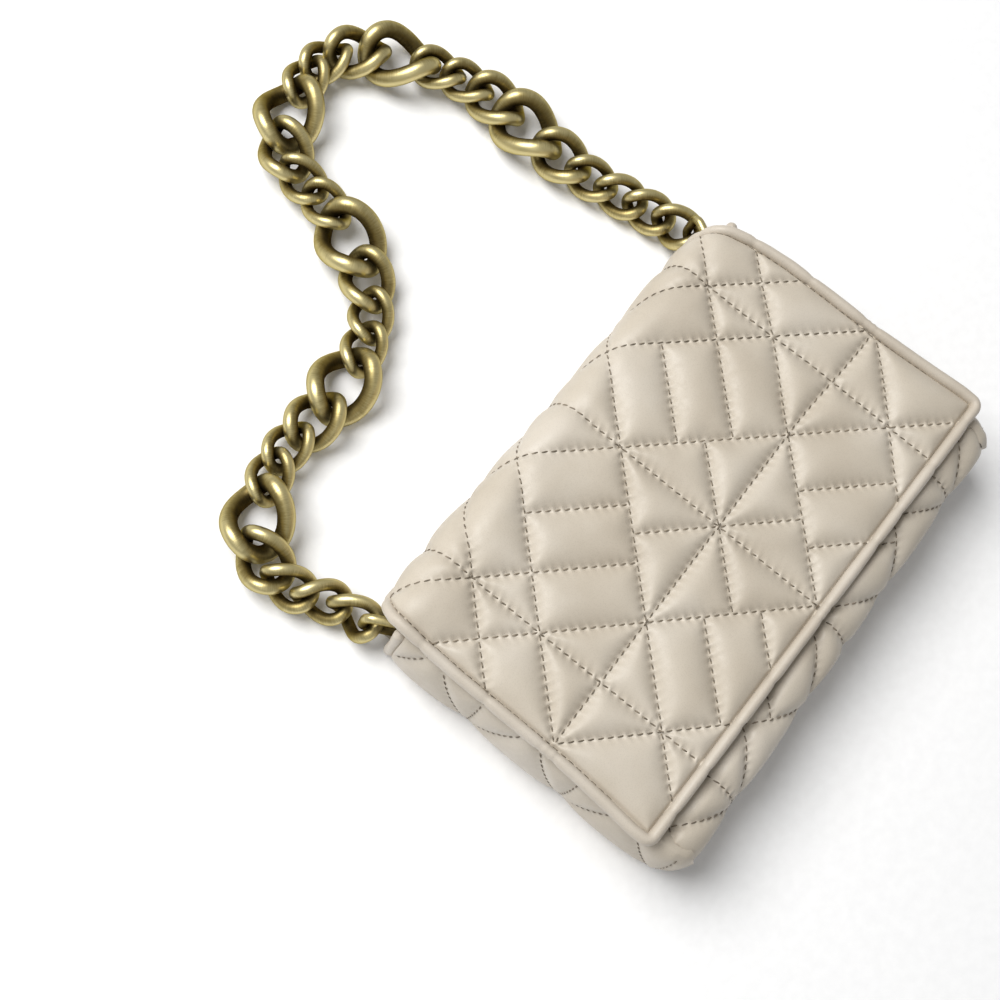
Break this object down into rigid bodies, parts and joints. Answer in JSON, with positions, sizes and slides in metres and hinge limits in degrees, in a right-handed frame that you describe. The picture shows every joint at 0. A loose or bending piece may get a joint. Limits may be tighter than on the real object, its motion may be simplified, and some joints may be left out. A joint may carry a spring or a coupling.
{
  "type": "chain shoulder bag",
  "caption": "Small quilted leather shoulder bag with a rolled-edge front flap, magnetic snap, board-stiffened body, slip pocket and a curb chain strap of mixed twisted links.",
  "frame": {"origin": "centre of the back panel, on the surface that the bag lies on", "axes": "+X across the bag to its right as the front is looked at with the chain uppermost, +Y from the base to the chain, +Z out of the front"},
  "size_m": [0.256, 0.3422, 0.0514],
  "materials": {
    "leather": "soft cream nappa leather, semi-matt, quilted over wadding",
    "board": "stiff pressed board",
    "lining": "woven cotton twill",
    "flap_lining": "smooth unquilted leather",
    "wadding": "soft polyester wadding",
    "brass": "antique brass, brushed and lacquered"
  },
  "bodies": {
    "bag": {"back_panel": "leather", "back_board": "board", "back_lining": "lining", "front_panel": "leather", "front_board": "board", "front_lining": "lining", "base_panel": "leather", "base_board": "board", "base_lining": "lining", "left_gusset": "leather", "right_gusset": "leather", "left_gusset_lining": "lining", "right_gusset_lining": "lining", "left_gusset_binding": "leather", "right_gusset_binding": "leather", "front_mouth_binding": "leather", "slip_pocket": "lining", "magnet_front": "brass", "magnet_washer": "brass", "left_tab": "leather", "right_tab": "leather", "link_01": "brass", "link_30": "brass"},
    "flap_strip": {"flap_back": "leather", "flap_back_lining": "flap_lining"},
    "flap": {"flap_panel": "leather", "flap_wadding": "wadding", "flap_lining": "flap_lining", "flap_rim": "leather", "magnet_flap": "brass"},
    "left_ring": {"left_ring": "brass"},
    "right_ring": {"right_ring": "brass"},
    "strap_ends": {"link_02": "brass", "link_29": "brass"},
    "strap_knuckles": {"link_03": "brass", "link_28": "brass"},
    "strap": {"link_04": "brass", "link_05": "brass", "link_06": "brass", "link_07": "brass", "link_08": "brass", "link_09": "brass", "link_10": "brass", "link_11": "brass", "link_12": "brass", "link_13": "brass", "link_14": "brass", "link_15": "brass", "link_16": "brass", "link_17": "brass", "link_18": "brass", "link_19": "brass", "link_20": "brass", "link_21": "brass", "link_22": "brass", "link_23": "brass", "link_24": "brass", "link_25": "brass", "link_26": "brass", "link_27": "brass"}
  },
  "joints": [
    {"name": "flap_lift", "type": "hinge", "parent": "bag", "child": "flap_strip", "pos_m": [0, 0.077, 0.0025], "axis": [-1, 0, 0], "range_deg": [0, 60]},
    {"name": "flap_fold", "type": "hinge", "parent": "flap_strip", "child": "flap", "pos_m": [0, 0.071, 0.0514], "axis": [-1, 0, 0], "range_deg": [0, 110]},
    {"name": "strap_swing_1", "type": "hinge", "parent": "bag", "child": "strap_ends", "pos_m": [0, 0.0931, 0.0104], "axis": [-1, 0, 0], "range_deg": [-12, 25]},
    {"name": "strap_swing_2", "type": "hinge", "parent": "strap_ends", "child": "strap_knuckles", "pos_m": [0, 0.1067, 0.0098], "axis": [-1, 0, 0], "range_deg": [-15, 30]},
    {"name": "strap_swing_3", "type": "hinge", "parent": "strap_knuckles", "child": "strap", "pos_m": [0, 0.1209, 0.0094], "axis": [-1, 0, 0], "range_deg": [-25, 25]},
    {"name": "left_ring_turn", "type": "hinge", "parent": "bag", "child": "left_ring", "pos_m": [-0.10564, 0.066, 0.0195], "axis": [0, 0, -1], "range_deg": [-1, 6]},
    {"name": "right_ring_turn", "type": "hinge", "parent": "bag", "child": "right_ring", "pos_m": [0.10564, 0.066, 0.0195], "axis": [0, 0, 1], "range_deg": [-1, 6]}
  ]
}
